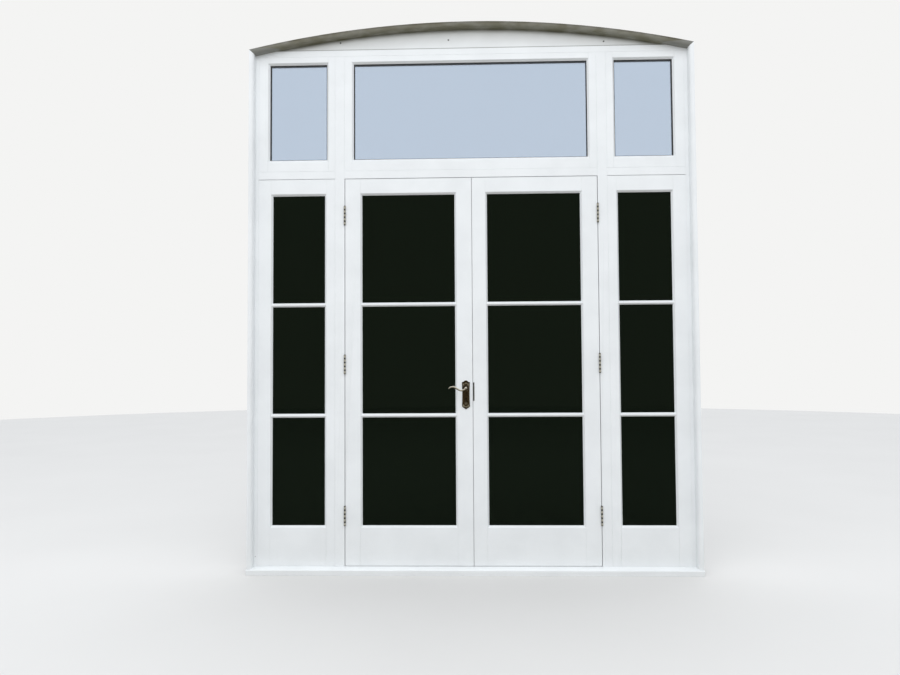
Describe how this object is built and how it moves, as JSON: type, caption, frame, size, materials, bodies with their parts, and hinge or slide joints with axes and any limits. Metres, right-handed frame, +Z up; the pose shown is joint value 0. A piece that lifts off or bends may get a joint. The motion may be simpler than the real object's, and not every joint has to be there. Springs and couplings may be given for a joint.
{
  "type": "french doors",
  "caption": "Painted timber french doors that open outwards, in an arched frame with glazed sidelights and toplights, a scroll lever, butt hinges and slide bolts.",
  "frame": {"origin": "middle of the sill's underside across the width, on the plane of the frame's outer face", "axes": "+X along the sill to the right seen from outside, +Y into the building, +Z up"},
  "size_m": [2.326, 0.1624, 2.861],
  "materials": {
    "white_paint": "satin paint on joinery timber",
    "bare_softwood": "planed softwood, unpainted",
    "glass": "clear float, sealed double glazing",
    "polished_brass": "polished",
    "antique_brass": "dark antiqued relief",
    "hinge_brass": "aged",
    "lock_steel": "brushed",
    "seal_rubber": "matt extruded"
  },
  "bodies": {
    "frame": {"sill": "white_paint", "left_jamb": "white_paint", "right_jamb": "white_paint", "left_mullion": "white_paint", "right_mullion": "white_paint", "left_transom": "white_paint", "centre_transom": "white_paint", "right_transom": "white_paint", "head_rail": "white_paint", "arch_board": "white_paint", "arch_ribs": "bare_softwood", "arch_lining": "bare_softwood", "arch_bead": "white_paint", "left_side_bead": "white_paint", "right_side_bead": "white_paint", "left_toplight_sash": "white_paint", "centre_toplight_sash": "white_paint", "right_toplight_sash": "white_paint", "toplight_glass": "glass", "left_sidelight_sash": "white_paint", "right_sidelight_sash": "white_paint", "sidelight_bars": "white_paint", "left_sidelight_glass": "glass", "right_sidelight_glass": "glass", "fixed_light_beads": "white_paint", "door_seals": "seal_rubber", "left_hinge_frame_plates": "hinge_brass", "right_hinge_frame_plates": "hinge_brass", "hinge_pins": "hinge_brass", "bolt_keeps": "polished_brass"},
    "left_leaf": {"left_leaf_hanging_stile": "white_paint", "left_leaf_meeting_stile": "white_paint", "left_leaf_bottom_rail": "white_paint", "left_leaf_top_rail": "white_paint", "left_leaf_bars": "white_paint", "left_leaf_glass": "glass", "left_leaf_beads": "white_paint", "left_hinge_leaf_plates": "hinge_brass", "outside_plate": "antique_brass", "inside_plate": "antique_brass", "lock_case": "lock_steel"},
    "right_leaf": {"right_leaf_hanging_stile": "white_paint", "right_leaf_meeting_stile": "white_paint", "right_leaf_bottom_rail": "white_paint", "right_leaf_top_rail": "white_paint", "right_leaf_bars": "white_paint", "right_leaf_glass": "glass", "right_leaf_beads": "white_paint", "right_hinge_leaf_plates": "hinge_brass", "strike_plate": "antique_brass", "meeting_seal": "seal_rubber", "bolt_plates": "polished_brass"},
    "lever": {"outside_lever": "polished_brass", "inside_lever": "polished_brass", "spindle": "lock_steel"},
    "latch": {"latch_bolt": "lock_steel"},
    "deadbolt": {"deadbolt": "lock_steel"},
    "top_bolt": {"top_bolt": "polished_brass"},
    "bottom_bolt": {"bottom_bolt": "polished_brass"}
  },
  "joints": [
    {"name": "left_leaf_swing", "type": "hinge", "parent": "frame", "child": "left_leaf", "pos_m": [-0.66, -0.0053, 1.043], "axis": [0, 0, -1], "range_deg": [0, 120]},
    {"name": "right_leaf_swing", "type": "hinge", "parent": "frame", "child": "right_leaf", "pos_m": [0.66, -0.0053, 1.043], "axis": [0, 0, 1], "range_deg": [0, 120]},
    {"name": "lever_turn", "type": "hinge", "parent": "left_leaf", "child": "lever", "pos_m": [-0.031, 0.027, 0.949], "axis": [0, -1, 0], "range_deg": [0, 40], "stiffness_Nm_per_rad": 1.5, "springref_deg": -17.19},
    {"name": "latch_slide", "type": "slide", "parent": "left_leaf", "child": "latch", "axis": [-1, 0, 0], "range_m": [0, 0.01]},
    {"name": "deadbolt_slide", "type": "slide", "parent": "left_leaf", "child": "deadbolt", "axis": [1, 0, 0], "range_m": [0, 0.014]},
    {"name": "top_bolt_slide", "type": "slide", "parent": "right_leaf", "child": "top_bolt", "axis": [0, 0, 1], "range_m": [0, 0.016]},
    {"name": "bottom_bolt_slide", "type": "slide", "parent": "right_leaf", "child": "bottom_bolt", "axis": [0, 0, -1], "range_m": [0, 0.016]}
  ],
  "couplings": [
    {"joint": "right_leaf_swing", "follows": "left_leaf_swing", "ratio": 1},
    {"joint": "latch_slide", "follows": "lever_turn", "m_per_rad": 0.01404}
  ]
}
